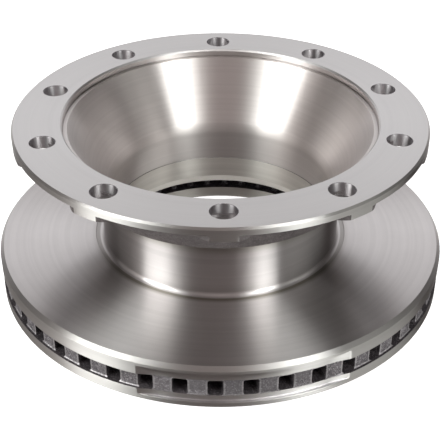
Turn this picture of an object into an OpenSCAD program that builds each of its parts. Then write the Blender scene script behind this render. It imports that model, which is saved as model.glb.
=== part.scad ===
// Ventilated brake disc of a heavy vehicle: a cast friction ring, a neck and a bolting flange
// in one casting. The origin is the centre of the inboard friction face and +Z runs along the
// axle, from the friction ring up to the flange.

/* [Friction ring] */
// Outer diameter of the friction ring
disc_d = 434; // [425:1:450]
// Thickness of the friction ring over both faces
disc_t = 45; // [43:0.5:50]
// Thickness of the inboard plate, the one away from the flange
inboard_t = 12.8; // [10:0.1:15]
// Height of the air gap between the two plates
vent_h = 16.1; // [12:0.1:18]
// Diameter of the hole in the inboard plate
inboard_bore_d = 254.6; // [245:0.2:262]
// Bevel around the hole in the inboard plate
inboard_bore_bevel = 1.9; // [0.5:0.1:3]
// Bevel at the outboard face's outer edge
rim_bevel = 3.6; // [1:0.1:5]
// Bevel at the inboard face's outer edge
rim_foot_bevel = 2.4; // [0.5:0.1:3]
// Width of the turned relief groove around the neck's foot
relief_w = 4.2; // [1:0.1:5]
// Depth of that relief groove
relief_depth = 0.8; // [0.3:0.1:1.5]

/* [Vanes] */
// Number of air channels, and so of vanes
vane_count = 44; // [36:1:46]
// Width of a channel between two vanes
channel_w = 13.2; // [10:0.1:13.6]
// Distance of the channels' centre lines from the axle, which makes the vanes lean
channel_offset = 32.6; // [0:0.2:40]
// Angle of one channel's mouth at the rim
channel_phase = -91.95; // [-180:0.05:180]
// How far the vanes' outer ends stand back from the rim
vane_setback = 3.4; // [2:0.1:8]
// Distance of the vanes' inner noses from the axle
vane_nose_r = 134; // [132:0.5:150]

/* [Balance cut] */
// Depth of the milled balance cut in the rim
cut_depth = 3.3; // [1:0.1:3.3]
// Height of the cut's lower edge above the inboard face
cut_z = 7; // [4:0.5:10]
// Height of the cut itself
cut_h = 31.5; // [20:0.5:33]
// Angle between the cut's two ends
cut_span = 50.8; // [30:0.2:90]
// Angle of the cut's middle
cut_direction = -84.8; // [-180:0.2:180]
// Radius of the run-out at the cut's ends
cut_runout_r = 100; // [40:1:150]

/* [Neck] */
// Wall of the turned neck around its bore
neck_wall = 10; // [8:0.5:12]
// Fillet between the friction face and the neck
neck_foot_fillet = 4; // [2:0.5:8]
// Diameter of the neck's bore
bore_d = 211; // [206:0.5:214]
// Height at which the bore ends in a turned line
bore_top_z = 63; // [55:0.5:75]
// Step in radius at the turned line
bore_step = 0.6; // [0.2:0.1:1]
// Height of the bell-mouth at the bore's lower end
bell_h = 9; // [6:0.5:10]
// How far the bell-mouth widens the bore's radius
bell_flare = 4.5; // [2:0.5:6]
// Rise of the air gap's roof towards the bore
roof_rise = 3.1; // [1:0.1:5]

/* [Shoulder] */
// How far the cast shoulder's lower edge stands out from the turned neck
shoulder_w = 15.5; // [12:0.5:20]
// Height of that edge above the corner between the bowl's side and the neck's bore
shoulder_rise = 8.5; // [2:0.5:14]
// Fillet under the shoulder
shoulder_fillet = 11.5; // [3:0.5:12]
// Lean of the cast shoulder's side, measured from the axle
shoulder_lean = 26; // [20:0.5:28]
// Fillet between the shoulder and the flange's underside
flange_fillet = 6; // [2:0.5:8]

/* [Bowl] */
// Lean of the bowl's side, measured from the axle
bowl_lean = 30; // [24:0.5:33]
// Radius that blends the bowl into the neck
bowl_blend_r = 31; // [20:1:60]

/* [Flange] */
// Height of the whole disc, from the inboard face to the flange's top
height = 168.5; // [160:0.5:180]
// Outer diameter of the flange
flange_d = 386; // [380:1:396]
// Thickness of the flange between the bosses
flange_t = 7.2; // [6:0.1:10]
// Bevel at the flange's top outer edge
flange_bevel = 1.8; // [0.5:0.1:3]
// Diameter of the pilot recess that centres the disc
pilot_d = 294; // [290:0.2:300]
// Depth of the pilot recess
pilot_depth = 6.6; // [4:0.1:8]
// Bevel at the pilot recess's mouth
pilot_bevel = 1.5; // [0.5:0.1:2]
// Width of the ledge at the pilot recess's floor
ledge_w = 4.3; // [3:0.1:6]
// Width and depth of the relief groove in the ledge's corner, half of it under the pilot's wall
ledge_groove = 1.4; // [0.5:0.1:2]

/* [Bolting] */
// Number of bolt holes
bolt_count = 10; // [8:1:12]
// Diameter of the circle through the bolt holes' centres
bolt_pcd = 335; // [330:0.5:340]
// Diameter of a bolt hole
bolt_d = 23.4; // [18:0.1:26]
// Bevel at a bolt hole's mouth
bolt_bevel = 0.3; // [0.2:0.1:1]
// Diameter of the round boss under each bolt hole
boss_d = 56.6; // [44:0.2:60]
// How far a boss stands below the flange's underside
boss_h = 5.3; // [3:0.1:7]

/* [Hidden] */
// Facets of a full circle
$fn = 180;
// Segments of a quarter arc in a turned profile
arc_steps = 6;
// Length by which a cutter runs past the face that it cuts
over = 1;
// Depth by which the balance cut's run-out crosses its floor
cut_dip = 0.05;
iron = [0.62, 0.6, 0.58];

disc_r = disc_d / 2;
bore_r = bore_d / 2;
neck_r = bore_r + neck_wall;
shoulder_r = neck_r + shoulder_w;
flange_r = flange_d / 2;
pilot_r = pilot_d / 2;
bolt_circle_r = bolt_pcd / 2;

roof_z = inboard_t + vent_h;
vane_end_r = disc_r - vane_setback;
flange_under_z = height - flange_t;
boss_under_z = flange_under_z - boss_h;
ledge_z = height - pilot_depth;
lip_r = pilot_r - ledge_w;
bell_r = bore_r + bell_flare;
bell_z = roof_z + roof_rise;
bowl_foot_r = bore_r + bore_step;
// Height at which the bowl's side would meet the neck's bore without the blend
bowl_corner_z = ledge_z - (lip_r - bowl_foot_r) / tan(bowl_lean);
// Distance from that corner to each end of the blend
bowl_tangent = bowl_blend_r * tan(bowl_lean / 2);
shoulder_z = bowl_corner_z + shoulder_rise;
relief_outer_r = neck_r + neck_foot_fillet + relief_w;
relief_z = disc_t - relief_depth;
// Angle by which the lean turns a channel's mouth at the rim away from its own direction
mouth_turn = asin(channel_offset / vane_end_r);
// Distance from the axle, along a vane, at which its two sides would meet
vane_apex = channel_w / 2 / sin(180 / vane_count);
// Distance from there to the centre of the vane's rounded nose
nose_distance = (sqrt(pow(vane_nose_r, 2) - pow(channel_offset, 2)) - vane_apex) / (1 - sin(180 / vane_count));
nose_r = nose_distance * sin(180 / vane_count);
cut_floor_r = disc_r - cut_depth;
cut_centre_r = cut_floor_r + cut_runout_r - cut_dip;
// Angle that the run-out takes at each end of the cut
cut_runout = acos((pow(cut_centre_r, 2) + pow(disc_r, 2) - pow(cut_runout_r, 2)) / (2 * cut_centre_r * disc_r));

// Points of an arc about [x, z], from angle a to angle b
function arc(x, z, r, a, b, steps = arc_steps) =
    [for (i = [0 : steps]) let (t = a + (b - a) * i / steps) [x + r * cos(t), z + r * sin(t)]];

// Everything outside the bore, from the air gap's roof to the flange, as one turned form
module turned_body() {
    fillet_z = flange_under_z - flange_fillet;
    side_r = shoulder_r + (flange_under_z - shoulder_z) * tan(shoulder_lean);
    tangent = flange_fillet * tan((90 - shoulder_lean) / 2);
    rotate_extrude()
        polygon(concat(
            [[0, bell_z], [bell_r, bell_z], [inboard_bore_d / 2, roof_z], [disc_r, roof_z]],
            [[disc_r, disc_t - rim_bevel], [disc_r - rim_bevel, disc_t]],
            [[relief_outer_r, disc_t], [relief_outer_r - relief_depth / 2, relief_z]],
            arc(neck_r + neck_foot_fillet, relief_z + neck_foot_fillet, neck_foot_fillet, 270, 180),
            arc(neck_r + shoulder_fillet, shoulder_z - shoulder_fillet, shoulder_fillet, 180, 90),
            [[shoulder_r, shoulder_z]],
            arc(side_r + tangent, fillet_z, flange_fillet, 180 - shoulder_lean, 90),
            [[flange_r, flange_under_z], [flange_r, height - flange_bevel]],
            [[flange_r - flange_bevel, height], [0, height]]
        ));
}

// The inboard plate of the friction ring
module inboard_plate() {
    hole_r = inboard_bore_d / 2;
    rotate_extrude()
        polygon([
            [hole_r, inboard_t], [hole_r, inboard_bore_bevel], [hole_r + inboard_bore_bevel, 0],
            [disc_r - rim_foot_bevel, 0], [disc_r, rim_foot_bevel], [disc_r, inboard_t]
        ]);
}

// One vane, seen along the axle: a wedge with a rounded inner nose
module vane_outline() {
    half = 180 / vane_count;
    translate([vane_apex, -channel_offset / cos(half)])
        polygon(concat(
            [[disc_r, -disc_r * tan(half)], [disc_r, disc_r * tan(half)]],
            arc(nose_distance, 0, nose_r, 90 + half, 270 - half)
        ));
}

// The leaning vanes, which leave parallel-sided channels between them
module vanes() {
    grip = over / 2;
    translate([0, 0, inboard_t - grip])
        linear_extrude(vent_h + 2 * grip)
            intersection() {
                circle(vane_end_r);
                for (i = [0 : vane_count - 1])
                    rotate(channel_phase + mouth_turn + (i + 0.5) * 360 / vane_count)
                        vane_outline();
            }
}

// Round cast bosses that the bolt heads bear on, trimmed to the flange's edge
module bolt_bosses() {
    intersection() {
        for (i = [0 : bolt_count - 1])
            rotate(90 + i * 360 / bolt_count)
                translate([bolt_circle_r, 0, boss_under_z])
                    cylinder(h = boss_h + flange_t / 2, d = boss_d, $fn = 64);
        cylinder(h = height, r = flange_r);
    }
}

// The machined inside: pilot recess, ledge, bowl, bore and bell-mouth
module machined_inside() {
    groove_half = ledge_groove / 2;
    groove_z = ledge_z - ledge_groove;
    rotate_extrude()
        polygon(concat(
            [[0, height + over], [pilot_r + pilot_bevel, height + over], [pilot_r + pilot_bevel, height]],
            [[pilot_r, height - pilot_bevel], [pilot_r, ledge_z + groove_half]],
            [[pilot_r + groove_half, ledge_z], [pilot_r + groove_half, groove_z]],
            [[pilot_r - groove_half, groove_z], [pilot_r - groove_half, ledge_z], [lip_r, ledge_z]],
            arc(bowl_foot_r + bowl_blend_r, bowl_corner_z - bowl_tangent, bowl_blend_r, 180 - bowl_lean, 180),
            [[bowl_foot_r, bore_top_z], [bore_r, bore_top_z]],
            [[bore_r, bell_z + bell_h], [bell_r, bell_z], [bell_r, -over], [0, -over]]
        ));
}

// Bolt holes through the flange and its bosses, with a bevelled mouth
module bolt_holes() {
    for (i = [0 : bolt_count - 1])
        rotate(90 + i * 360 / bolt_count)
            translate([bolt_circle_r, 0, 0]) {
                translate([0, 0, boss_under_z - over])
                    cylinder(h = height - boss_under_z + 2 * over, d = bolt_d, $fn = 48);
                translate([0, 0, height - bolt_bevel])
                    cylinder(h = 2 * bolt_bevel, d1 = bolt_d, d2 = bolt_d + 4 * bolt_bevel, $fn = 48);
            }
}

// The milled balance cut: an arc of even depth that runs out at both ends
module balance_cut() {
    reach = cut_span / 2 - cut_runout;
    steps = 8;
    sweep = [for (i = [-steps : steps]) let (t = reach * i / steps) 2 * disc_r * [cos(t), sin(t)]];
    rotate(cut_direction)
        translate([0, 0, cut_z])
            linear_extrude(cut_h)
                union() {
                    intersection() {
                        difference() {
                            circle(disc_r + over);
                            circle(cut_floor_r);
                        }
                        polygon(concat([[0, 0]], sweep));
                    }
                    for (side = [-1, 1])
                        rotate(side * reach)
                            translate([cut_centre_r, 0])
                                circle(cut_runout_r);
                }
}

module brake_disc() {
    color(iron)
        difference() {
            union() {
                turned_body();
                inboard_plate();
                vanes();
                bolt_bosses();
            }
            machined_inside();
            bolt_holes();
            balance_cut();
        }
}

brake_disc();
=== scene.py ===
import math

import bmesh
import bpy
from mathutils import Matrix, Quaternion, Vector, noise
from mathutils.geometry import delaunay_2d_cdt


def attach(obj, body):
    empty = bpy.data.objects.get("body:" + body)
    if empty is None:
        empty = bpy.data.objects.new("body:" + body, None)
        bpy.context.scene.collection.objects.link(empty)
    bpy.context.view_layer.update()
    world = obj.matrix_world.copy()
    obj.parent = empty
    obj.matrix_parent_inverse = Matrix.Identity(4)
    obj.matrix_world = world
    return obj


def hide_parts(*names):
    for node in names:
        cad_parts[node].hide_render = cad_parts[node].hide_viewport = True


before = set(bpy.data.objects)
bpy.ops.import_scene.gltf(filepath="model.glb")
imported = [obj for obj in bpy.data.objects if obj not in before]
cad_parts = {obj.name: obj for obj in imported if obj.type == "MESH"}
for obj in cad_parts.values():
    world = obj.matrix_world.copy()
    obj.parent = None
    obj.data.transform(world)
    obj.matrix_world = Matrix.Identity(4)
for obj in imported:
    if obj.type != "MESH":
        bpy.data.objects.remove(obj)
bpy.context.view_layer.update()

MM = 0.001
SEGMENTS = 360
SHARP_ANGLE = 32.0

# Sizes in millimetres and degrees, within 0.1 mm of the CAD source's. The friction ring
DISC_R = 217.0
DISC_T = 45.0
INBOARD_T = 12.8
INBOARD_BORE_R = 127.3
INBOARD_BORE_BEVEL = 1.9
ROOF_Z = 28.9
RIM_BEVEL = 3.6
RIM_FOOT_BEVEL = 2.4

# The vanes and the channels between them, with VANE_HALF and MOUTH_TURN in radians
VANE_COUNT = 44
VANE_END_R = DISC_R - 3.4
VANE_NOSE_R = 134.0
CHANNEL_W = 13.2
CHANNEL_OFFSET = 32.6
CHANNEL_PHASE = -91.95
VANE_HALF = math.radians(180 / VANE_COUNT)
VANE_APEX = CHANNEL_W / 2 / math.sin(VANE_HALF)
VANE_SHIFT = -CHANNEL_OFFSET / math.cos(VANE_HALF)
NOSE_DISTANCE = ((math.sqrt(VANE_NOSE_R ** 2 - CHANNEL_OFFSET ** 2) - VANE_APEX)
                 / (1 - math.sin(VANE_HALF)))
MOUTH_TURN = math.asin(CHANNEL_OFFSET / VANE_END_R)

# The neck, its relief groove, the bore and its bell-mouth
NECK_R = 115.5
NECK_FILLET = 4.0
RELIEF_DEPTH = 0.8
RELIEF_Z = DISC_T - RELIEF_DEPTH
RELIEF_OUTER_R = NECK_R + NECK_FILLET + 4.2
BORE_R = 105.5
BORE_TOP_Z = 63.0
BELL_R = BORE_R + 4.5
BELL_Z = ROOF_Z + 3.1
BELL_H = 9.0

# The shoulder and the bowl
SHOULDER_R = NECK_R + 15.5
SHOULDER_Z = 107.0
SHOULDER_TOP_R = 157.5
SHOULDER_FILLET = 11.5
BOWL_FOOT_R = BORE_R + 0.6
BOWL_LEAN = 30.0
BOWL_BLEND_R = 31.0

# The flange, its pilot recess and the ledge in it
HEIGHT = 168.5
FLANGE_R = 193.0
FLANGE_UNDER = 161.3
FLANGE_BEVEL = 1.8
FLANGE_FILLET = 6.0
PILOT_R = 147.0
PILOT_BEVEL = 1.5
LEDGE_Z = HEIGHT - 6.6
LIP_R = PILOT_R - 4.3
LEDGE_GROOVE = 1.4

# The bolt holes and their bosses
BOLT_COUNT = 10
BOLT_CIRCLE_R = 167.5
BOLT_R = 11.7
BOLT_BEVEL = 0.3
BOSS_UNDER = 156.0
BOSS_R = 28.3

# The balance cut in the rim
CUT_FLOOR_R = DISC_R - 3.3
CUT_RUNOUT_R = 100.0
CUT_CENTRE_R = CUT_FLOOR_R + CUT_RUNOUT_R
CUT_RUNOUT = math.degrees(math.acos((CUT_CENTRE_R ** 2 + DISC_R ** 2 - CUT_RUNOUT_R ** 2)
                                    / (2 * CUT_CENTRE_R * DISC_R)))
CUT_SPAN = 50.8
CUT_DIRECTION = -84.8
CUT_FOOT_Z = 7.0
CUT_TOP_Z = 38.5

# Finer forms, in millimetres, that only the scene has
CUTTER_CORNER = 1.1
EDGE_BREAK = 0.4
VANE_CORNER = 0.7
BOSS_EDGE = 0.8
BOSS_FILLET = 1.2

# The share of a vane's flare that its outer end gets, and the height of the painted highlight along its foot
VANE_END_FLARE = 0.8
FOOT_EDGE_H = 0.7

# Sizes that only the meshes need: the gap between a step's two edges, how far up into the flange and
# how far in a boss goes there, the ring of points on its underside, and the flange's holes over bosses
STEP_GAP = 2e-5
BOSS_GRIP = 1.5
BOSS_TOP_R = 14.0
BOSS_MIDDLE_R = 20.0
UNDER_HOLE_R = 15.0

# How far the balance cut skimmed the vane ends, in degrees from its middle: nowhere within the margin
# of its ends, all the way down at the peak, and less with each degree of the fade on both sides of it
SKIM_MARGIN = 3.0
SKIM_PEAK = 4.0
SKIM_FADE = 16.0

# Each vane's flare: the height over the plate, and how far the vane's side stands out there
VANE_FLARE = [(-0.6, 1.5), (0.0, 1.5), (0.25, 0.85), (0.7, 0.4), (1.4, 0.1), (2.2, 0.0)]

# Points that an outline has along a vane's nose, along each of its sides and along its outer end
NOSE_POINTS = 9
SIDE_POINTS = 8
END_POINTS = 17

# Steps up a vane's straight middle, and round a bolt hole
MIDDLE_STEPS = 12
HOLE_SEGMENTS = 72
HOLE_STEP = 2 * math.pi / HOLE_SEGMENTS
HOLE_ANGLES = [HOLE_STEP * k for k in range(HOLE_SEGMENTS)]

# Finishes, as places in the list of materials
FACE, NECK, BOWL, BORE, BELL, FLANGE, RIM, MILLED, CAST, VANE_END, VENT, EDGE, SKIMMED = range(13)


# Materials

# How fine the textures are, in repeats a metre, and how deep their bumps are, in metres
LATHE_LINES = 1400.0
LATHE_BANDS = 170.0
LATHE_CLOUDS = 16.0
CUTTER_LINES = 1500.0
CUTTER_CLOUDS = 60.0
SAND_GRAIN = 800.0
SAND_LUMPS = 240.0
SAND_CLOUDS = 40.0
LINE_DEPTH = 0.00002
GRAIN_DEPTH = 0.0005
LUMP_DEPTH = 0.0009

# The turn of a material's blur, as a share of a full turn, that lays it across the tool's lines
ACROSS = 0.25
UP = (0.0, 0.0, 1.0)


def rgb(red, green, blue):
    return (red, green, blue, 1.0)


# Painted shade: a dark olive mixed into the turned metal in the relief groove and under the shoulder
PAINTED_SHADE_COLOUR = rgb(0.17, 0.15, 0.10)
WHITE = rgb(1.0, 1.0, 1.0)


def nodes_of(name):
    mat = bpy.data.materials.new(name)
    mat.use_nodes = True
    tree = mat.node_tree
    tree.nodes.clear()
    out = tree.nodes.new("ShaderNodeOutputMaterial")
    bsdf = tree.nodes.new("ShaderNodeBsdfPrincipled")
    tree.links.new(bsdf.outputs[0], out.inputs[0])
    return mat, tree, bsdf


class Graph:
    """Short calls for building a node tree."""

    def __init__(self, tree):
        self.tree = tree

    def node(self, kind, **props):
        n = self.tree.nodes.new("ShaderNode" + kind)
        for k, v in props.items():
            setattr(n, k, v)
        return n

    def put(self, socket, value):
        if isinstance(value, bpy.types.NodeSocket):
            self.tree.links.new(value, socket)
        else:
            socket.default_value = value

    def math(self, op, *args):
        n = self.node("Math", operation=op)
        for i, a in enumerate(args):
            self.put(n.inputs[i], a)
        return n.outputs[0]

    def vec(self, op, *args):
        n = self.node("VectorMath", operation=op)
        for i, a in enumerate(args):
            self.put(n.inputs[i], a)
        return n.outputs["Value" if op in ("LENGTH", "DOT_PRODUCT", "DISTANCE") else "Vector"]

    def ramp(self, value, low, high, to_low=0.0, to_high=1.0, smooth=False):
        n = self.node("MapRange", interpolation_type="SMOOTHSTEP" if smooth else "LINEAR")
        for i, a in enumerate((value, low, high, to_low, to_high)):
            self.put(n.inputs[i], a)
        return n.outputs[0]

    def band(self, value, low, low_full, high_full, high):
        """One between low_full and high_full, fading to nothing at low and high."""
        rising = self.ramp(value, low, low_full, smooth=True)
        return self.math("MULTIPLY", rising, self.ramp(value, high_full, high, 1.0, 0.0, smooth=True))

    def noise(self, place, scale, detail, rough, dimensions="3D"):
        n = self.node("TexNoise", noise_dimensions=dimensions)
        self.put(n.inputs["W" if dimensions == "1D" else "Vector"], place)
        n.inputs["Scale"].default_value = scale
        n.inputs["Detail"].default_value = detail
        n.inputs["Roughness"].default_value = rough
        return n.outputs["Fac"]

    def mix(self, fac, a, b):
        n = self.node("Mix", data_type="RGBA")
        self.put(n.inputs[0], fac)
        self.put(n.inputs[6], a)
        self.put(n.inputs[7], b)
        return n.outputs[2]

    def bump(self, height, strength, distance, normal=None):
        n = self.node("Bump")
        n.inputs["Strength"].default_value = strength
        n.inputs["Distance"].default_value = distance
        self.put(n.inputs["Height"], height)
        if normal is not None:
            self.put(n.inputs["Normal"], normal)
        return n.outputs[0]


def painted_shade(g, radius, height, away):
    """How much painted shade lies at a place: in the relief groove at the neck's foot, with less of it
    towards the far side, and on the neck under the shoulder.

    The distances are in metres, and away runs from the camera's side of the disc to the far side."""
    # Painted shade in the relief groove, with less of it towards the far side
    in_groove = g.band(radius, 0.1188, 0.1202, 0.1225, 0.1285)
    at_ring = g.ramp(height, 0.0452, 0.0462, 0.62, 0.0)
    less_at_back = g.ramp(away, -0.100, -0.030, 1.0, 0.25, smooth=True)
    groove = g.math("MULTIPLY", g.math("MULTIPLY", in_groove, at_ring), less_at_back)
    # Painted shade on the neck just under the shoulder's overhang
    up_the_neck = g.ramp(height, 0.086, 0.101, 0.0, 0.6, smooth=True)
    below_shoulder = g.ramp(height, 0.108, 0.110, 1.0, 0.0)
    outside_bowl = g.ramp(radius, 0.1135, 0.1150)
    under = g.math("MULTIPLY", g.math("MULTIPLY", up_the_neck, below_shoulder), outside_bowl)
    return g.math("MAXIMUM", groove, under)


def turned(name, light, dark, rough, spread, anisotropic, cloud=0.3, with_painted_shade=False, metallic=1.0):
    """Metal cut on a lathe: rings about the axle, with a bright streak where they face a lamp."""
    mat, tree, bsdf = nodes_of(name)
    g = Graph(tree)
    where = g.node("TexCoord").outputs["Object"]
    radius = g.vec("LENGTH", g.vec("MULTIPLY", where, (1.0, 1.0, 0.0)))
    axes = g.node("SeparateXYZ")
    g.put(axes.inputs[0], where)
    _, away, height = axes.outputs
    along = g.math("ADD", radius, height)
    fine = g.noise(along, LATHE_LINES, 2.0, 0.7, "1D")
    wide = g.noise(along, LATHE_BANDS, 3.0, 0.6, "1D")
    patch = g.noise(where, LATHE_CLOUDS, 4.0, 0.6)
    tone = g.math("ADD", g.math("MULTIPLY", wide, 1.0 - cloud), g.math("MULTIPLY", patch, cloud))
    colour = g.mix(g.ramp(tone, 0.3, 0.7), dark, light)
    # Painted shade in the relief groove and under the shoulder
    if with_painted_shade:
        colour = g.mix(painted_shade(g, radius, height, away), colour, PAINTED_SHADE_COLOUR)
    g.put(bsdf.inputs["Base Color"], colour)
    g.put(bsdf.inputs["Roughness"], g.ramp(fine, 0.25, 0.75, rough - spread, rough + spread))
    bsdf.inputs["Metallic"].default_value = metallic
    bsdf.inputs["Anisotropic"].default_value = anisotropic
    bsdf.inputs["Anisotropic Rotation"].default_value = ACROSS
    round_way = g.vec("NORMALIZE", g.vec("CROSS_PRODUCT", UP, where))
    g.put(bsdf.inputs["Tangent"], round_way)
    g.put(bsdf.inputs["Normal"], g.bump(fine, 0.12, LINE_DEPTH))
    return mat


def milled(name, light, dark, rough):
    """Metal cut by a drill or a milling cutter: fine level lines, with streaks of light across them."""
    mat, tree, bsdf = nodes_of(name)
    g = Graph(tree)
    where = g.node("TexCoord").outputs["Object"]
    height = g.node("SeparateXYZ")
    g.put(height.inputs[0], where)
    lines = g.noise(height.outputs[2], CUTTER_LINES, 2.0, 0.6, "1D")
    patch = g.noise(where, CUTTER_CLOUDS, 3.0, 0.6)
    g.put(bsdf.inputs["Base Color"], g.mix(g.ramp(patch, 0.3, 0.7), dark, light))
    g.put(bsdf.inputs["Roughness"], g.ramp(lines, 0.3, 0.7, rough - 0.03, rough + 0.03))
    bsdf.inputs["Metallic"].default_value = 1.0
    bsdf.inputs["Anisotropic"].default_value = 0.9
    bsdf.inputs["Anisotropic Rotation"].default_value = ACROSS
    outward = g.node("NewGeometry").outputs["Normal"]
    g.put(bsdf.inputs["Tangent"], g.vec("NORMALIZE", g.vec("CROSS_PRODUCT", UP, outward)))
    g.put(bsdf.inputs["Normal"], g.bump(lines, 0.2, LINE_DEPTH))
    return mat


def cast(name, light, dark, speck, metallic=0.4, rough=(0.5, 0.75), sparkle=0.54, depth=0.9):
    """Raw sand-cast iron: grainy, dull and uneven, with light specks where the sand left it."""
    mat, tree, bsdf = nodes_of(name)
    g = Graph(tree)
    where = g.node("TexCoord").outputs["Object"]
    grain = g.noise(where, SAND_GRAIN, 2.0, 0.6)
    lump = g.noise(where, SAND_LUMPS, 3.0, 0.6)
    patch = g.noise(where, SAND_CLOUDS, 3.0, 0.6)
    tone = g.math("ADD", g.math("MULTIPLY", lump, 0.5), g.math("MULTIPLY", patch, 0.3))
    tone = g.math("ADD", tone, g.math("MULTIPLY", grain, 0.2))
    colour = g.mix(g.ramp(tone, 0.38, 0.62), dark, light)
    colour = g.mix(g.ramp(grain, sparkle, sparkle + 0.16), colour, speck)
    g.put(bsdf.inputs["Base Color"], colour)
    g.put(bsdf.inputs["Roughness"], g.ramp(grain, 0.3, 0.7, rough[1], rough[0]))
    bsdf.inputs["Metallic"].default_value = metallic
    pit = g.bump(grain, depth, GRAIN_DEPTH)
    g.put(bsdf.inputs["Normal"], g.bump(lump, 0.7, LUMP_DEPTH, pit))
    return mat


MATERIALS = [
    turned("ground_friction_face", rgb(0.66, 0.63, 0.634), rgb(0.58, 0.553, 0.557), 0.33, 0.015, 1.0,
           cloud=0.5, with_painted_shade=True),
    turned("turned_neck", rgb(0.53, 0.505, 0.507), rgb(0.46, 0.438, 0.441), 0.37, 0.015, 1.0,
           with_painted_shade=True),
    turned("turned_bowl", rgb(0.670, 0.632, 0.626), rgb(0.610, 0.575, 0.569), 0.38, 0.015, 0.95),
    turned("turned_bore", rgb(0.67, 0.642, 0.61), rgb(0.59, 0.565, 0.535), 0.38, 0.02, 1.0,
           metallic=0.85),
    # Painted light: the bell-mouth is a paler, mostly diffuse copy of the turned iron, for the bright band
    # above the vents
    turned("turned_bell_mouth_painted_light", rgb(0.82, 0.79, 0.75), rgb(0.74, 0.715, 0.68), 0.45, 0.02, 0.8,
           metallic=0.3),
    turned("turned_flange_face", rgb(0.67, 0.652, 0.658), rgb(0.63, 0.613, 0.62), 0.38, 0.015, 0.35),
    turned("turned_rim", rgb(0.60, 0.583, 0.577), rgb(0.53, 0.514, 0.509), 0.44, 0.02, 1.0),
    milled("milled_and_drilled", rgb(0.60, 0.58, 0.60), rgb(0.48, 0.46, 0.48), 0.38),
    cast("raw_casting", rgb(0.155, 0.136, 0.139), rgb(0.088, 0.077, 0.079), rgb(0.205, 0.19, 0.193),
         sparkle=0.60, depth=0.5),
    cast("vane_end_casting", rgb(0.20, 0.184, 0.20), rgb(0.075, 0.068, 0.075), rgb(0.42, 0.40, 0.42)),
    # Painted shade: a darker copy of the raw casting, for the vents between the plates and for a dark line
    # on the bore's ledge
    cast("vent_casting_painted_shade", rgb(0.07, 0.059, 0.067), rgb(0.022, 0.019, 0.022), rgb(0.14, 0.125, 0.135)),
    # Painted highlight: a paler, glossier copy of the casting along each vane end's corners and foot
    cast("cast_edge_painted_highlight", rgb(0.46, 0.44, 0.46), rgb(0.26, 0.245, 0.26), rgb(0.62, 0.60, 0.62),
         metallic=0.7, rough=(0.3, 0.5)),
    cast("skimmed_casting", rgb(0.22, 0.206, 0.22), rgb(0.13, 0.121, 0.131), rgb(0.34, 0.325, 0.345),
         metallic=0.6, rough=(0.4, 0.55), depth=0.4),
]


# Mesh helpers

def round_profile(points, closed=True, turn_step=16.0, hold=0.15):
    """[(r, z, fillet, finish)] to [(r, z, finish)], with each corner rounded by its own fillet.

    finish belongs to the stretch that starts at the point. A long stretch gets a point near each end,
    so that smooth shading stays near the corners."""
    out = []
    n = len(points)
    for i, (r, z, fillet, finish) in enumerate(points):
        if not closed and i in (0, n - 1):
            out.append((r, z, finish))
            continue
        before, after = points[i - 1], points[(i + 1) % n]
        p = Vector((r, z))
        a = Vector(before[:2]) - p
        b = Vector(after[:2]) - p
        la, lb = a.length, b.length
        a.normalize()
        b.normalize()
        inside = math.acos(max(-1.0, min(1.0, a.dot(b))))
        turn = math.pi - inside
        if fillet <= 0 or turn < math.radians(2):
            out.append((r, z, finish))
            continue
        reach = min(fillet * math.tan(turn / 2), 0.48 * la, 0.48 * lb)
        radius = reach / math.tan(turn / 2)
        centre = p + (a + b).normalized() * (radius / math.cos(turn / 2))
        start, end = p + a * reach, p + b * reach
        steps = max(2, math.ceil(math.degrees(turn) / turn_step))
        ang0 = math.atan2(*(start - centre).yx)
        ang1 = math.atan2(*(end - centre).yx)
        sweep = (ang1 - ang0 + math.pi) % (2 * math.pi) - math.pi
        if la > 4 * hold + reach:
            q = start + a * hold
            out.append((q.x, q.y, before[3]))
        for k in range(steps + 1):
            t = ang0 + sweep * k / steps
            tag = before[3] if k < steps / 2 else finish
            out.append((centre.x + radius * math.cos(t), centre.y + radius * math.sin(t), tag))
        if lb > 4 * hold + reach:
            q = end + b * hold
            out.append((q.x, q.y, finish))
    return out


def arc(r, z, radius, start, end, steps, finish):
    return [
        (r + radius * math.cos(math.radians(start + (end - start) * k / steps)),
         z + radius * math.sin(math.radians(start + (end - start) * k / steps)), 0, finish)
        for k in range(steps + 1)
    ]


def divide(profile, finish, step, above=0.0):
    """Adds points to the stretches of one finish above that height, so that they can be roughened."""
    out = []
    for i, (r, z, tag) in enumerate(profile):
        out.append((r, z, tag))
        nr, nz, _ = profile[(i + 1) % len(profile)]
        length = math.hypot(nr - r, nz - z)
        if tag == finish and min(z, nz) >= above and length > 1.5 * step:
            count = round(length / step)
            out += [(r + (nr - r) * k / count, z + (nz - z) * k / count, tag) for k in range(1, count)]
    return out


def new_object(name, verts, faces, finishes):
    mesh = bpy.data.meshes.new(name)
    mesh.from_pydata([tuple(c * MM for c in v) for v in verts], [], faces)
    for m in MATERIALS:
        mesh.materials.append(m)
    mesh.polygons.foreach_set("material_index", finishes)
    mesh.update()
    obj = bpy.data.objects.new(name, mesh)
    bpy.context.scene.collection.objects.link(obj)
    return obj


def lathe(profile, angles, shape=None, centre=(0.0, 0.0), closed=True, paint=None):
    """A profile of (r, z, finish) turned about a vertical axis, as (verts, faces, finishes).

    shape(r, z, angle) gives the radius where it isn't the same all round, and paint(start, end, angle)
    the finish. Stretches with no finish stay open."""
    verts, faces, finishes = [], [], []
    count = len(profile)
    for a in angles:
        c, d = math.cos(a), math.sin(a)
        for r, z, _ in profile:
            q = shape(r, z, a) if shape else r
            verts.append((centre[0] + q * c, centre[1] + q * d, z))
    for s in range(len(angles)):
        t = (s + 1) % len(angles)
        for i in range(count if closed else count - 1):
            j = (i + 1) % count
            if profile[i][2] is not None:
                faces.append((s * count + i, t * count + i, t * count + j, s * count + j))
                finishes.append(paint(profile[i], profile[j], angles[s]) if paint else profile[i][2])
    return verts, faces, finishes


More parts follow.
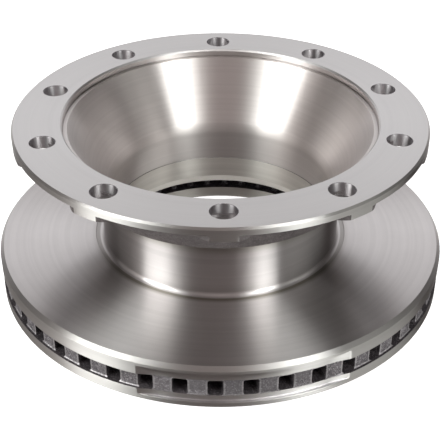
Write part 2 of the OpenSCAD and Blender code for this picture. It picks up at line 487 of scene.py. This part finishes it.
def pierced_ring(z, inner_r, outer_r, angles, hole_r, up, finish):
    """A flat ring at one height with the ten bolt holes in it, as (verts, faces, finishes)."""
    pts, edges = [], []

    def loop(points):
        start = len(pts)
        pts.extend(Vector(p) for p in points)
        n = len(points)
        edges.extend((start + k, start + (k + 1) % n) for k in range(n))

    loop([(outer_r * math.cos(a), outer_r * math.sin(a)) for a in angles])
    loop([(inner_r * math.cos(a), inner_r * math.sin(a)) for a in angles])
    centres = [Vector(c) for c in bolt_centres()]
    for x, y in centres:
        loop([(x + hole_r * math.cos(a), y + hole_r * math.sin(a)) for a in HOLE_ANGLES])
    flat = delaunay_2d_cdt(pts, edges, [], 0, 1e-7)
    faces = []
    for f in flat[2]:
        p, q, r = (flat[0][k] for k in f[:3])
        middle = (p + q + r) / 3
        in_hole = any((middle - c).length < hole_r * 0.999 for c in centres)
        if in_hole or middle.length < inner_r * 0.9999:
            continue
        turn = (q - p).cross(r - p)
        faces.append(tuple(f) if (turn > 0) == up else tuple(reversed(f)))
    return [(v.x, v.y, z) for v in flat[0]], faces, [finish] * len(faces)


def bolt_centres():
    steps = [math.radians(90 + 360 / BOLT_COUNT * i) for i in range(BOLT_COUNT)]
    return [(BOLT_CIRCLE_R * math.cos(a), BOLT_CIRCLE_R * math.sin(a)) for a in steps]


def from_cut(angle):
    """Degrees between an angle, also in degrees, and the middle of the balance cut."""
    return abs((angle - CUT_DIRECTION + 180) % 360 - 180)


def cut_radius(angle):
    """The rim's radius at that angle in the balance cut: an even floor with a run-out at each end."""
    past = from_cut(math.degrees(angle)) - (CUT_SPAN / 2 - CUT_RUNOUT)
    if past <= 0:
        return CUT_FLOOR_R
    if past >= CUT_RUNOUT:
        return DISC_R
    t = math.radians(past)
    aside = CUT_CENTRE_R * math.sin(t)
    return min(DISC_R, CUT_CENTRE_R * math.cos(t) - math.sqrt(CUT_RUNOUT_R ** 2 - aside ** 2))


def rim_angles():
    """Even steps round the disc, with finer ones where the balance cut runs out."""
    made = {round(360 * k / SEGMENTS, 4) for k in range(SEGMENTS)}
    run_out = [CUT_SPAN / 2 - CUT_RUNOUT * k / 10 for k in range(11)]
    just_outside = CUT_SPAN / 2 + 0.06
    for side in (-1, 1):
        for off in run_out + [just_outside]:
            made.add(round((CUT_DIRECTION + side * off) % 360, 4))
    return [math.radians(a) for a in sorted(made)]


def solid(name, parts):
    """One object from several (verts, faces, finishes), with the points that they share made one."""
    verts, faces, finishes = [], [], []
    for v, f, m in parts:
        base = len(verts)
        verts += v
        faces += [tuple(base + k for k in face) for face in f]
        finishes += m
    obj = new_object(name, verts, faces, finishes)
    bm = bmesh.new()
    bm.from_mesh(obj.data)
    bmesh.ops.remove_doubles(bm, verts=bm.verts, dist=2e-7)
    bmesh.ops.recalc_face_normals(bm, faces=bm.faces)
    bm.to_mesh(obj.data)
    bm.free()
    return obj


def finish_piece(obj):
    obj.data.polygons.foreach_set("use_smooth", [True] * len(obj.data.polygons))
    obj.data.set_sharp_from_angle(angle=math.radians(SHARP_ANGLE))
    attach(obj, "root")
    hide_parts("brake_disc")


def roughen(obj, amount, size, keep=lambda p: True):
    """Moves the vertices that only raw faces touch, by a noise of that amount and size in millimetres."""
    mesh = obj.data
    raw = [True] * len(mesh.vertices)
    for p in mesh.polygons:
        if p.material_index not in (CAST, VANE_END, VENT, EDGE):
            for v in p.vertices:
                raw[v] = False
    places = [v.co.copy() for v in mesh.vertices]
    normals = [v.normal.copy() for v in mesh.vertices]
    for i, (p, n) in enumerate(zip(places, normals)):
        if raw[i] and keep(p):
            q = p / (size * MM)
            places[i] = p + n * ((noise.noise(q) + 0.5 * noise.noise(q * 2.3)) * amount * MM)
    mesh.vertices.foreach_set("co", [c for p in places for c in p])
    mesh.update()


# The casting

def outer_profile():
    """The upper casting's section, from the bell-mouth round the outside to the bowl and back."""
    pts = [
        # The roof's underside in the vents takes the vent colour, which is painted shade
        (BELL_R, BELL_Z, 0.4, VENT),
        (INBOARD_BORE_R, ROOF_Z, 3.0, VENT),
        (DISC_R, ROOF_Z, 0.35, RIM),
        (DISC_R, DISC_T - RIM_BEVEL, 0.5, RIM),
        (DISC_R - RIM_BEVEL, DISC_T, 0.4, FACE),
        (RELIEF_OUTER_R, DISC_T, 0.15, NECK),
        (RELIEF_OUTER_R - RELIEF_DEPTH / 2, RELIEF_Z, 0.15, NECK),
    ]
    pts += arc(NECK_R + NECK_FILLET, RELIEF_Z + NECK_FILLET, NECK_FILLET, 270, 190, 9, FACE)
    pts.append((NECK_R, RELIEF_Z + NECK_FILLET, 0, NECK))
    pts += arc(NECK_R + SHOULDER_FILLET, SHOULDER_Z - SHOULDER_FILLET, SHOULDER_FILLET,
               180, 90, 10, NECK)
    pts += [
        (SHOULDER_R, SHOULDER_Z, 1.2, CAST),
        (SHOULDER_TOP_R, FLANGE_UNDER, FLANGE_FILLET, CAST),
        (FLANGE_R, FLANGE_UNDER, 0.6, RIM),
        (FLANGE_R, HEIGHT - FLANGE_BEVEL, 0.25, RIM),
        (FLANGE_R - FLANGE_BEVEL, HEIGHT, 0.25, FLANGE),
        (PILOT_R + PILOT_BEVEL, HEIGHT, 0.2, FLANGE),
        (PILOT_R, HEIGHT - PILOT_BEVEL, 0.2, BOWL),
        (PILOT_R, LEDGE_Z + LEDGE_GROOVE / 2, 0.1, BOWL),
        (PILOT_R + LEDGE_GROOVE / 2, LEDGE_Z, 0.1, BOWL),
        (PILOT_R + LEDGE_GROOVE / 2, LEDGE_Z - LEDGE_GROOVE, 0.2, BOWL),
        (PILOT_R - LEDGE_GROOVE / 2, LEDGE_Z - LEDGE_GROOVE, 0.2, BOWL),
        (PILOT_R - LEDGE_GROOVE / 2, LEDGE_Z, 0.15, BOWL),
        (LIP_R, LEDGE_Z, 0.3, BOWL),
    ]
    corner_z = LEDGE_Z - (LIP_R - BOWL_FOOT_R) / math.tan(math.radians(BOWL_LEAN))
    blend_z = corner_z - BOWL_BLEND_R * math.tan(math.radians(BOWL_LEAN / 2))
    pts += arc(BOWL_FOOT_R + BOWL_BLEND_R, blend_z, BOWL_BLEND_R, 180 - BOWL_LEAN, 180, 14, BOWL)
    pts += [
        # The bore's ledge takes the near-black vent colour: a painted dark line of shade
        (BOWL_FOOT_R, BORE_TOP_Z, 0.1, VENT),
        (BORE_R, BORE_TOP_Z, 0.1, BORE),
        (BORE_R, BELL_Z + BELL_H, 0.6, BELL),
    ]
    return pts


def open_flat(profile, z, finish):
    """Takes the finish off the longest flat stretch at one height and returns the radii of its ends."""
    after = profile[1:] + profile[:1]
    spans = [(abs(q[0] - p[0]), i) for i, (p, q) in enumerate(zip(profile, after))
             if max(abs(p[1] - z), abs(q[1] - z)) < 1e-3 and p[2] == finish]
    i = max(spans)[1]
    profile[i] = (profile[i][0], z, None)
    return sorted((profile[i][0], after[i][0]))


def boss_profile():
    """The section of a bolt hole's wall and of the boss round its lower end, about the hole's centre."""
    pts = [
        # The bevel round each bolt hole's top takes the dark vane-end casting colour: painted shade in place
        # of its glint
        (BOLT_R + BOLT_BEVEL, HEIGHT, 0, VANE_END),
        (BOLT_R, HEIGHT - BOLT_BEVEL, 0, MILLED),
        (BOLT_R, BOSS_UNDER, 0, CAST),
        (BOSS_MIDDLE_R, BOSS_UNDER, 0, CAST),
        (BOSS_R, BOSS_UNDER, BOSS_EDGE, CAST),
    ]
    pts += arc(BOSS_R + BOSS_FILLET, FLANGE_UNDER - BOSS_FILLET, BOSS_FILLET, 180, 90, 3, CAST)
    pts += [
        (BOSS_R + BOSS_FILLET, FLANGE_UNDER + BOSS_GRIP, 0, CAST),
        (BOSS_TOP_R, FLANGE_UNDER + BOSS_GRIP, 0, CAST),
    ]
    return round_profile(pts, closed=False)


def boss(x, y):
    """One bolt hole's wall and boss, trimmed to the flange's edge and to the bowl's wall."""
    out_way = math.atan2(y, x)
    wall_r = PILOT_R + 3.0

    def edge(a):
        """Distance from the hole's centre to the flange's edge at that angle."""
        return -BOLT_CIRCLE_R * math.cos(a - out_way) + math.sqrt(
            FLANGE_R ** 2 - (BOLT_CIRCLE_R * math.sin(a - out_way)) ** 2)

    def trimmed(r, z, a):
        """The radius about the hole, held inside the flange's edge and the bowl's wall."""
        c = BOLT_CIRCLE_R * math.cos(a - out_way)
        s2 = (BOLT_CIRCLE_R * math.sin(a - out_way)) ** 2
        limit = edge(a)
        if c < 0 and s2 < wall_r ** 2:
            limit = min(limit, -c - math.sqrt(wall_r ** 2 - s2))
        return min(r, limit)

    def trimmed_face(start, end, a):
        """The turned finish of the flange's edge where the boss was trimmed with it."""
        beyond = min(start[0], end[0]) > max(edge(a), edge(a + HOLE_STEP))
        return RIM if beyond and start[2] == CAST else start[2]

    return lathe(boss_profile(), HOLE_ANGLES, trimmed, (x, y), closed=False, paint=trimmed_face)


def vane_outline(grow):
    """One vane seen from above, in its wedge's own frame, grown sideways and at its end by that much."""
    nose_r = NOSE_DISTANCE * math.sin(VANE_HALF) + grow
    end_r = VANE_END_R + grow * VANE_END_FLARE
    nose = []
    for k in range(NOSE_POINTS):
        t = math.pi / 2 + VANE_HALF + (math.pi - 2 * VANE_HALF) * k / (NOSE_POINTS - 1)
        nose.append((VANE_APEX + NOSE_DISTANCE + nose_r * math.cos(t), nose_r * math.sin(t)))

    def reach(p, way):
        """Distance along way from p to the vane's outer end."""
        x, y = p[0], p[1] + VANE_SHIFT
        b = x * way[0] + y * way[1]
        return -b + math.sqrt(b * b - (x * x + y * y - end_r * end_r))

    def side(p, way):
        """The points of the side that leaves the nose at p, and its sharp tip at the outer end."""
        far = reach(p, way)
        steps = [(far - VANE_CORNER) * k / SIDE_POINTS for k in range(1, SIDE_POINTS + 1)]
        *points, tip = [(p[0] + way[0] * s, p[1] + way[1] * s) for s in steps + [far]]
        return points, tip

    def rounded(tip, before, after):
        """The point that stands for a tip, drawn in between its neighbours."""
        return tuple((2 * t + a + b) / 4 for t, a, b in zip(tip, before, after))

    low, low_tip = side(nose[-1], (math.cos(VANE_HALF), -math.sin(VANE_HALF)))
    high, high_tip = side(nose[0], (math.cos(VANE_HALF), math.sin(VANE_HALF)))
    start = math.atan2(low_tip[1] + VANE_SHIFT, low_tip[0])
    stop = math.atan2(high_tip[1] + VANE_SHIFT, high_tip[0])
    trim = VANE_CORNER / end_r
    outer = []
    for k in range(END_POINTS):
        t = start + trim + (stop - start - 2 * trim) * k / (END_POINTS - 1)
        outer.append((end_r * math.cos(t), end_r * math.sin(t) - VANE_SHIFT))
    low_corner = rounded(low_tip, low[-1], outer[0])
    high_corner = rounded(high_tip, high[-1], outer[-1])
    return nose + low + [low_corner] + outer + [high_corner] + high[::-1]


def vane_rings():
    """A vane's outline at each of its levels, as [(z, points)], flared alike at both plates."""
    foot = [(INBOARD_T + up, grow) for up, grow in VANE_FLARE]
    flare_h = VANE_FLARE[-1][0]
    straight = ROOF_Z - INBOARD_T - 2 * flare_h
    middle_z = [INBOARD_T + flare_h + straight * k / MIDDLE_STEPS for k in range(1, MIDDLE_STEPS)]
    middle = [(z, 0.0) for z in middle_z]
    head = [(ROOF_Z - (z - INBOARD_T), grow) for z, grow in reversed(foot)]
    return [(z, vane_outline(grow)) for z, grow in foot + middle + head]


def skimmed_share(place):
    """How much of a vane end the balance cut skimmed, from its top down, at that angle in degrees."""
    off = from_cut(place)
    if off > CUT_SPAN / 2 - SKIM_MARGIN:
        return 0.0
    return max(0.0, 1.0 - (abs(off - SKIM_PEAK) / SKIM_FADE) ** 1.5)


def vane_finish(j, z, share):
    """The finish at outline point j and height z. share is how much of the end was skimmed, from its top."""
    first_end = NOSE_POINTS + SIDE_POINTS + 1
    last_end = first_end + END_POINTS - 1
    if j < NOSE_POINTS - 1:
        return VANE_END
    if not first_end - 1 <= j <= last_end:
        # The vanes' sides take the vent colour, which is painted shade
        return VENT
    # The corners and foot of each vane end take the painted highlight
    if j in (first_end - 1, first_end, last_end - 1, last_end) or z < INBOARD_T + FOOT_EDGE_H:
        return EDGE
    if z > ROOF_Z - share * (ROOF_Z - INBOARD_T):
        return SKIMMED
    return VANE_END


def held_in_cut(p):
    """A vane's point, moved in to the balance cut's floor where it would stand out of it."""
    x, y, z = p
    r = math.hypot(x, y)
    fit = min(r, cut_radius(math.atan2(y, x))) / r
    return (x * fit, y * fit, z)


def vane_mesh():
    """All the vanes: leaning wedges with rounded noses, flared where they meet the plates."""
    rings = vane_rings()
    n = len(rings[0][1])
    verts, faces, finishes = [], [], []
    for i in range(VANE_COUNT):
        middle = math.radians(CHANNEL_PHASE) + (2 * i + 1) * VANE_HALF
        turn = math.radians(CHANNEL_PHASE) + MOUTH_TURN + (2 * i + 1) * VANE_HALF
        c, s = math.cos(turn), math.sin(turn)
        share = skimmed_share(math.degrees(middle))
        base = len(verts)
        for z, pts in rings:
            verts += [(x * c - (y + VANE_SHIFT) * s, x * s + (y + VANE_SHIFT) * c, z) for x, y in pts]
        for k in range(len(rings) - 1):
            low, high = base + k * n, base + (k + 1) * n
            middle_z = (rings[k][0] + rings[k + 1][0]) / 2
            for j in range(n):
                m = (j + 1) % n
                faces.append((low + j, low + m, high + m, high + j))
                finishes.append(vane_finish(j, middle_z, share))
        faces.append(tuple(base + j for j in range(n - 1, -1, -1)))
        faces.append(tuple(base + (len(rings) - 1) * n + j for j in range(n)))
        finishes += [VENT, VENT]
    return [held_in_cut(p) for p in verts], faces, finishes


def cut_back(r, z, a):
    """The rim's radius with the balance cut taken out and its lower corner rounded."""
    if CUT_FOOT_Z - 1e-6 < z < CUT_TOP_Z + 1e-6:
        up = max(0.0, 1.0 - (z - CUT_FOOT_Z) / CUTTER_CORNER)
        return min(r, cut_radius(a) + CUTTER_CORNER * (1.0 - math.sqrt(1.0 - up * up)))
    if abs(z - CUT_FOOT_Z) < 1e-3 and cut_radius(a) > r:
        return DISC_R
    return r


def crosses_rim(start, end, z):
    """Whether a stretch of a section runs up or down the rim through that height."""
    return (start[1] - z) * (end[1] - z) < 0 and min(start[0], end[0]) > DISC_R - 0.1


def upper_step(profile):
    """Adds the two edges of the balance cut's upper shoulder: one cut back, one left whole."""
    out = []
    for i, point in enumerate(profile):
        out.append(point)
        if crosses_rim(point, profile[(i + 1) % len(profile)], CUT_TOP_Z):
            out += [(DISC_R, CUT_TOP_Z, MILLED), (DISC_R, CUT_TOP_Z + STEP_GAP, point[2])]
    return out


def lower_step(profile):
    """Adds the balance cut's lower shoulder, with its outer edge broken and its inner corner round."""
    out = []
    for i, point in enumerate(profile):
        out.append(point)
        if crosses_rim(point, profile[(i + 1) % len(profile)], CUT_FOOT_Z):
            out.append((DISC_R, CUT_FOOT_Z - EDGE_BREAK, RIM))
            out.append((DISC_R - EDGE_BREAK, CUT_FOOT_Z - STEP_GAP, MILLED))
            corner = [CUT_FOOT_Z + CUTTER_CORNER * t for t in (0.0, 0.07, 0.25, 0.55, 1.0)]
            out += [(DISC_R, z, point[2]) for z in corner]
    return out


def lower_cut_finish(start, end, a):
    """The inboard plate's finish: milled at the corner that the cutter left above the shoulder."""
    low = min(start[1], end[1])
    in_corner = CUT_FOOT_Z + 1e-3 < low < CUT_FOOT_Z + CUTTER_CORNER * 0.9
    if start[2] == RIM and in_corner and cut_radius(a) < DISC_R - 0.8:
        return MILLED
    return start[2]


ANGLES = rim_angles()

# Of the casting's raw surfaces, only those above this height, in millimetres, are roughened
ROUGH_ABOVE = 100.0

section = round_profile(outer_profile())
top_in, top_out = open_flat(section, HEIGHT, FLANGE)
under_in, under_out = open_flat(section, FLANGE_UNDER, CAST)
section = upper_step(divide(section, CAST, 3.0, above=ROUGH_ABOVE))
casting = solid("outboard_casting", [
    lathe(section, ANGLES, cut_back),
    pierced_ring(HEIGHT, top_in, top_out, ANGLES, BOLT_R + BOLT_BEVEL, True, FLANGE),
    pierced_ring(FLANGE_UNDER, under_in, under_out, ANGLES, UNDER_HOLE_R, False, CAST),
] + [boss(x, y) for x, y in bolt_centres()])

plate_profile = round_profile([
    (INBOARD_BORE_R, INBOARD_T, 0.4, BORE),
    (INBOARD_BORE_R, INBOARD_BORE_BEVEL, 0.3, BORE),
    (INBOARD_BORE_R + INBOARD_BORE_BEVEL, 0.0, 0.3, FACE),
    (DISC_R - RIM_FOOT_BEVEL, 0.0, 0.4, RIM),
    (DISC_R, RIM_FOOT_BEVEL, 0.4, RIM),
    # The plate's top in the vents takes the vent colour, which is painted shade
    (DISC_R, INBOARD_T, 0.4, VENT),
])
plate = solid("inboard_plate", [
    lathe(lower_step(plate_profile), ANGLES, cut_back, paint=lower_cut_finish),
])
vanes = solid("vanes", [vane_mesh()])
roughen(casting, amount=0.22, size=5.0, keep=lambda p: p.z > ROUGH_ABOVE * MM)
roughen(vanes, amount=0.16, size=1.6)
for piece in (casting, plate, vanes):
    finish_piece(piece)


# Floor, lights and camera

# The photo's camera, fitted to the rims and holes: pixels, metres and degrees, with the roll in radians.
# TURN turns the camera and the whole room round the disc
PHOTO_PX = 440
FOCAL_PX = 1028.905
CENTRE_PX = (220.183, 262.030)
TURN = -0.96
CAMERA_AZIMUTH = -90.0 + TURN
CAMERA_ELEVATION = 35.338
CAMERA_DISTANCE = 1.055788
CAMERA_ROLL = 0.0021059

# The floor, in metres: it lies just under the disc, so that the two surfaces don't flicker. Only the
# camera sees its glow
FLOOR_HALF = 30.0
FLOOR_GAP = 0.0002
FLOOR_GLOW = 0.8

# The room round the disc and its lamps: azimuths in degrees, distances in metres
BACKDROP_AZIMUTH = 92.0 + TURN
BACKDROP_LEVEL = 0.98
ROOM_TINT = rgb(1.0, 0.87, 0.83)
PALE_TINT = rgb(0.97, 1.0, 0.95)
WALL_BLUR = 8.0
LAMP_TINT = (0.972, 1.0, 0.962)
LAMP_AIM = Vector((0, 0, 0.1))

# Each wall's azimuth, half width, paleness and its brightness below, at and above the part
WALLS = [
    (-9.0, 25.0, 0.8, (0.80, 0.05, 0.05)),
    (-8.0, 13.0, 0.6, (0.85, 0.20, 1.10)),
    (-26.0, 8.0, 0.2, (0.0, 0.50, 0.25)),
    (172.0, 28.0, 0.4, (0.46, 0.05, 0.05)),
    (-178.0, 14.0, 0.3, (0.46, 0.42, 0.22)),
    (-163.0, 10.0, 0.3, (0.46, 1.20, 0.40)),
]


def floor():
    mesh = bpy.data.meshes.new("floor")
    h = FLOOR_HALF
    mesh.from_pydata([(-h, -h, 0), (h, -h, 0), (h, h, 0), (-h, h, 0)], [], [(0, 1, 2, 3)])
    obj = bpy.data.objects.new("floor", mesh)
    bpy.context.scene.collection.objects.link(obj)
    obj.location.z = -FLOOR_GAP
    mat, tree, bsdf = nodes_of("pale_floor")
    g = Graph(tree)
    bsdf.inputs["Base Color"].default_value = rgb(0.92, 0.92, 0.92)
    bsdf.inputs["Roughness"].default_value = 0.9
    bsdf.inputs["Specular IOR Level"].default_value = 0.1
    bsdf.inputs["Emission Color"].default_value = WHITE
    seen = g.node("LightPath").outputs["Is Camera Ray"]
    g.put(bsdf.inputs["Emission Strength"], g.math("MULTIPLY", seen, FLOOR_GLOW))
    mesh.materials.append(mat)
    obj.visible_glossy = False


def way(azimuth, elevation, distance=1.0):
    a, e = math.radians(azimuth), math.radians(elevation)
    return Vector((math.cos(e) * math.cos(a), math.cos(e) * math.sin(a), math.sin(e))) * distance


def softbox(name, azimuth, elevation, distance, wide, high, radiance, roll):
    light = bpy.data.lights.new(name, "AREA")
    light.shape = "RECTANGLE"
    light.size = wide
    light.size_y = high
    light.energy = radiance * math.pi * wide * high
    light.color = LAMP_TINT
    obj = bpy.data.objects.new(name, light)
    bpy.context.scene.collection.objects.link(obj)
    obj.location = way(azimuth, elevation, distance) + LAMP_AIM
    obj.rotation_mode = "QUATERNION"
    turn = Quaternion(UP, math.radians(roll))
    obj.rotation_quaternion = way(azimuth, elevation).to_track_quat("Z", "Y") @ turn
    obj.visible_camera = False


def with_walls(g, level_way, rise, glow, pale):
    """The room's glow and paleness once the walls stand in it, each blurred at its sides."""
    below = g.ramp(rise, -0.02, 0.08, 1.0, 0.0, smooth=True)
    beside = g.band(rise, -0.02, 0.08, 0.35, 0.50)
    above = g.band(rise, 0.40, 0.52, 0.62, 0.75)
    for azimuth, half_width, paleness, levels in WALLS:
        toward = g.vec("DOT_PRODUCT", level_way, tuple(way(azimuth + TURN, 0)))
        outer = math.cos(math.radians(half_width + WALL_BLUR))
        inner = math.cos(math.radians(half_width - WALL_BLUR))
        inside = g.ramp(toward, outer, inner, smooth=True)
        brightness = 0.0
        for band, level in zip((below, beside, above), levels):
            brightness = g.math("ADD", brightness, g.math("MULTIPLY", band, level))
        glow = g.math("MAXIMUM", glow, g.math("MULTIPLY", inside, brightness))
        pale = g.math("MAXIMUM", pale, g.math("MULTIPLY", inside, paleness))
    return glow, pale


def studio_world():
    """A white backdrop behind the part and a dim room round the rest. The camera itself sees white.

    back runs from 1 behind the part to -1 behind the camera, and rise is the sine of the elevation."""
    world = bpy.data.worlds.new("studio")
    bpy.context.scene.world = world
    world.use_nodes = True
    tree = world.node_tree
    tree.nodes.clear()
    g = Graph(tree)
    direction = g.node("TexCoord").outputs["Generated"]
    axes = g.node("SeparateXYZ")
    g.put(axes.inputs[0], direction)
    rise = axes.outputs[2]
    level_way = g.vec("NORMALIZE", g.vec("MULTIPLY", direction, (1.0, 1.0, 0.0)))
    back = g.vec("DOT_PRODUCT", level_way, tuple(way(BACKDROP_AZIMUTH, 0)))

    behind = g.ramp(back, 0.66, 0.88, 0.0, 1.0, smooth=True)
    backdrop = g.math("MULTIPLY", behind, g.ramp(rise, 0.58, 0.84, 1.0, 0.0, smooth=True))
    facing = g.ramp(back, 0.0, 0.40, 1.0, 0.25, smooth=True)
    room_height = g.band(rise, -0.05, 0.10, 0.55, 0.80)
    room = g.ramp(room_height, 0.0, 1.0, 0.09, g.math("MULTIPLY", facing, 0.16))
    behind_camera = g.ramp(back, -0.70, -0.95, 0.0, 0.9, smooth=True)
    ceiling = g.math("MULTIPLY", behind_camera, g.band(rise, 0.45, 0.70, 0.90, 0.97))
    glow, pale = with_walls(g, level_way, rise, ceiling, backdrop)

    room = g.math("MAXIMUM", room, glow)
    level = g.math("MAXIMUM", room, g.math("MULTIPLY", backdrop, BACKDROP_LEVEL))
    tint = g.mix(pale, ROOM_TINT, g.mix(backdrop, PALE_TINT, WHITE))
    seen = g.node("LightPath").outputs["Is Camera Ray"]
    background = g.node("Background")
    g.put(background.inputs["Color"], g.mix(seen, tint, WHITE))
    g.put(background.inputs["Strength"], g.math("MAXIMUM", level, seen))
    g.put(g.node("OutputWorld").inputs["Surface"], background.outputs[0])


floor()
studio_world()
softbox("left_softbox", azimuth=-146.5 + TURN, elevation=33, distance=1.8, wide=0.86, high=2.1,
        radiance=6.0, roll=-3)
softbox("right_softbox", azimuth=-50.5 + TURN, elevation=33, distance=1.8, wide=0.60, high=2.1,
        radiance=6.2, roll=5)

camera_data = bpy.data.cameras.new("camera")
camera_data.sensor_width = 36.0
camera_data.lens = FOCAL_PX * camera_data.sensor_width / PHOTO_PX
camera_data.shift_x = (PHOTO_PX / 2 - CENTRE_PX[0]) / PHOTO_PX
camera_data.shift_y = (CENTRE_PX[1] - PHOTO_PX / 2) / PHOTO_PX
camera_data.clip_start = 0.05
camera_data.clip_end = 100
camera = bpy.data.objects.new("camera", camera_data)
bpy.context.scene.collection.objects.link(camera)
camera.location = way(CAMERA_AZIMUTH, CAMERA_ELEVATION, CAMERA_DISTANCE)
camera.rotation_mode = "XYZ"
camera.rotation_euler = (math.radians(90 - CAMERA_ELEVATION), 0, math.radians(CAMERA_AZIMUTH + 90))
camera.rotation_euler.rotate_axis("Z", CAMERA_ROLL)
bpy.context.scene.camera = camera

scene = bpy.context.scene
scene.view_settings.view_transform = "Standard"

bpy.context.view_layer.update()
